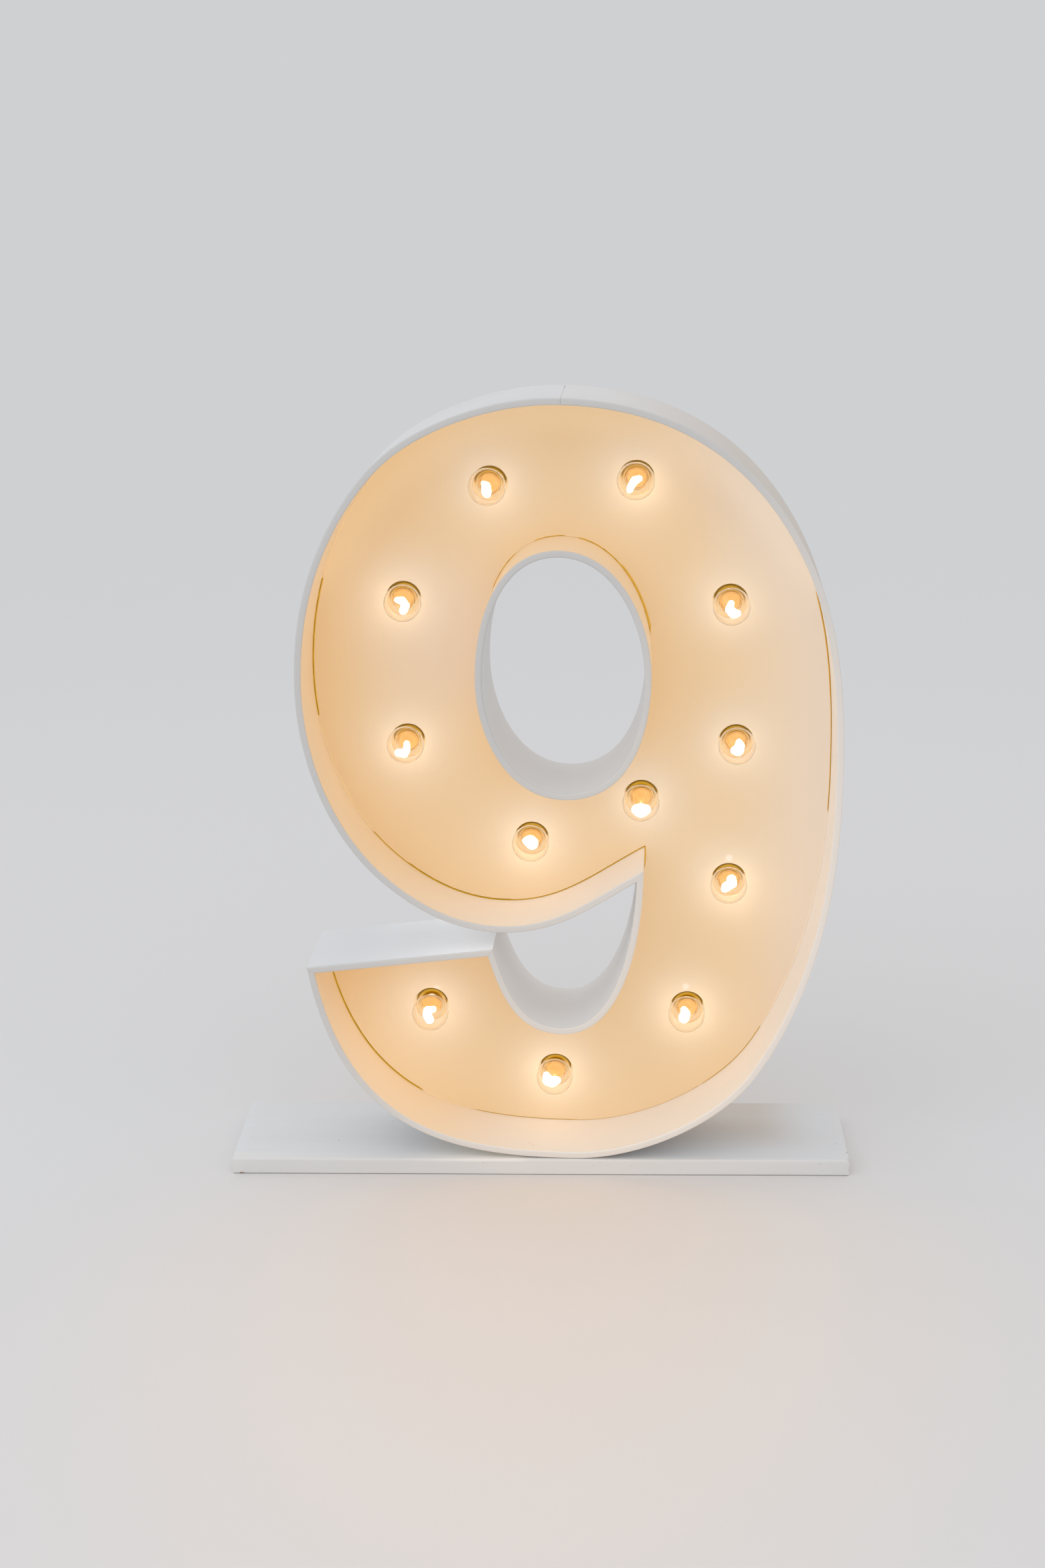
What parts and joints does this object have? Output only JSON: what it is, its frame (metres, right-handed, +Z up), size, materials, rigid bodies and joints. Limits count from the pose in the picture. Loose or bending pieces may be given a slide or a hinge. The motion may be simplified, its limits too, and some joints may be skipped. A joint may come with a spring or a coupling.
{
  "type": "light up marquee number",
  "caption": "Free-standing light up marquee figure nine: a deep open-fronted channel with a recessed face panel and clear globe bulbs, fixed to a flat plank.",
  "frame": {"origin": "middle of the plank's underside, where the piece stands on the floor", "axes": "+Z up, -Y towards the open front with the bulbs, +X to the right seen from the front"},
  "size_m": [0.7506, 0.2034, 0.9333],
  "materials": {
    "wall_paint": "bent thin plywood under brushed white satin paint",
    "panel_paint": "flat board under smooth cream-white satin paint, lit amber by the bulbs",
    "plank_paint": "planed board under worn white paint",
    "rear_board": "raw plywood",
    "timber": "raw plywood strip",
    "bulb_glass": "clear blown glass",
    "brass_cap": "rolled screw cap",
    "lampholder": "moulded dark brown lampholder",
    "cable": "matt cable sheath",
    "zinc": "zinc plated",
    "black_plastic": "fine moulded texture"
  },
  "bodies": {
    "sign": {"base_plank": "plank_paint", "plank_screw_1": "zinc", "plank_screw_2": "zinc", "tail_wall": "wall_paint", "outer_wall_foot": "wall_paint", "outer_wall_right": "wall_paint", "outer_wall_left": "wall_paint", "gap_wall": "wall_paint", "tail_end_wall": "wall_paint", "counter_wall": "wall_paint", "face_panel": "panel_paint", "rear_board": "rear_board", "outer_ledge": "timber", "counter_ledge": "timber", "lampholder_01": "lampholder", "lampholder_02": "lampholder", "lampholder_03": "lampholder", "lampholder_04": "lampholder", "lampholder_05": "lampholder", "lampholder_06": "lampholder", "lampholder_07": "lampholder", "lampholder_08": "lampholder", "lampholder_09": "lampholder", "lampholder_10": "lampholder", "lampholder_11": "lampholder", "lampholder_12": "lampholder", "wiring_harness": "cable", "angle_bracket_left": "zinc", "angle_bracket_right": "zinc", "board_screw_left": "zinc", "board_screw_right": "zinc", "foot_screw_left": "zinc", "foot_screw_right": "zinc", "power_inlet": "black_plastic", "switch_bezel": "black_plastic"},
    "bulb_01": {"bulb_glass_01": "bulb_glass", "bulb_cap_01": "brass_cap"},
    "bulb_02": {"bulb_glass_02": "bulb_glass", "bulb_cap_02": "brass_cap"},
    "bulb_03": {"bulb_glass_03": "bulb_glass", "bulb_cap_03": "brass_cap"},
    "bulb_04": {"bulb_glass_04": "bulb_glass", "bulb_cap_04": "brass_cap"},
    "bulb_05": {"bulb_glass_05": "bulb_glass", "bulb_cap_05": "brass_cap"},
    "bulb_06": {"bulb_glass_06": "bulb_glass", "bulb_cap_06": "brass_cap"},
    "bulb_07": {"bulb_glass_07": "bulb_glass", "bulb_cap_07": "brass_cap"},
    "bulb_08": {"bulb_glass_08": "bulb_glass", "bulb_cap_08": "brass_cap"},
    "bulb_09": {"bulb_glass_09": "bulb_glass", "bulb_cap_09": "brass_cap"},
    "bulb_10": {"bulb_glass_10": "bulb_glass", "bulb_cap_10": "brass_cap"},
    "bulb_11": {"bulb_glass_11": "bulb_glass", "bulb_cap_11": "brass_cap"},
    "bulb_12": {"bulb_glass_12": "bulb_glass", "bulb_cap_12": "brass_cap"},
    "rocker": {"switch_rocker": "black_plastic"}
  },
  "joints": [
    {"name": "bulb_01_turn", "type": "hinge", "parent": "sign", "child": "bulb_01", "pos_m": [-0.05571, 0.0396, 0.82293], "axis": [0, -1, 0], "range_deg": [0, 1260]},
    {"name": "bulb_02_turn", "type": "hinge", "parent": "sign", "child": "bulb_02", "pos_m": [0.11576, 0.0396, 0.82921], "axis": [0, -1, 0], "range_deg": [0, 1260]},
    {"name": "bulb_03_turn", "type": "hinge", "parent": "sign", "child": "bulb_03", "pos_m": [-0.1597, 0.0396, 0.68643], "axis": [0, -1, 0], "range_deg": [0, 1260]},
    {"name": "bulb_04_turn", "type": "hinge", "parent": "sign", "child": "bulb_04", "pos_m": [0.22656, 0.0396, 0.68374], "axis": [0, -1, 0], "range_deg": [0, 1260]},
    {"name": "bulb_05_turn", "type": "hinge", "parent": "sign", "child": "bulb_05", "pos_m": [-0.15784, 0.0396, 0.51312], "axis": [0, -1, 0], "range_deg": [0, 1260]},
    {"name": "bulb_06_turn", "type": "hinge", "parent": "sign", "child": "bulb_06", "pos_m": [0.23522, 0.0396, 0.51402], "axis": [0, -1, 0], "range_deg": [0, 1260]},
    {"name": "bulb_07_turn", "type": "hinge", "parent": "sign", "child": "bulb_07", "pos_m": [0.12256, 0.0396, 0.44487], "axis": [0, -1, 0], "range_deg": [0, 1260]},
    {"name": "bulb_08_turn", "type": "hinge", "parent": "sign", "child": "bulb_08", "pos_m": [-0.0099, 0.0396, 0.39189], "axis": [0, -1, 0], "range_deg": [0, 1260]},
    {"name": "bulb_09_turn", "type": "hinge", "parent": "sign", "child": "bulb_09", "pos_m": [0.22841, 0.0396, 0.3416], "axis": [0, -1, 0], "range_deg": [0, 1260]},
    {"name": "bulb_10_turn", "type": "hinge", "parent": "sign", "child": "bulb_10", "pos_m": [-0.13556, 0.0396, 0.17816], "axis": [0, -1, 0], "range_deg": [0, 1260]},
    {"name": "bulb_11_turn", "type": "hinge", "parent": "sign", "child": "bulb_11", "pos_m": [0.17951, 0.0396, 0.17727], "axis": [0, -1, 0], "range_deg": [0, 1260]},
    {"name": "bulb_12_turn", "type": "hinge", "parent": "sign", "child": "bulb_12", "pos_m": [0.01733, 0.0396, 0.09375], "axis": [0, -1, 0], "range_deg": [0, 1260]},
    {"name": "rocker_tilt", "type": "hinge", "parent": "sign", "child": "rocker", "pos_m": [0.2247, 0.0518, 0.2069], "axis": [1, 0, 0], "range_deg": [-14, 0]}
  ]
}
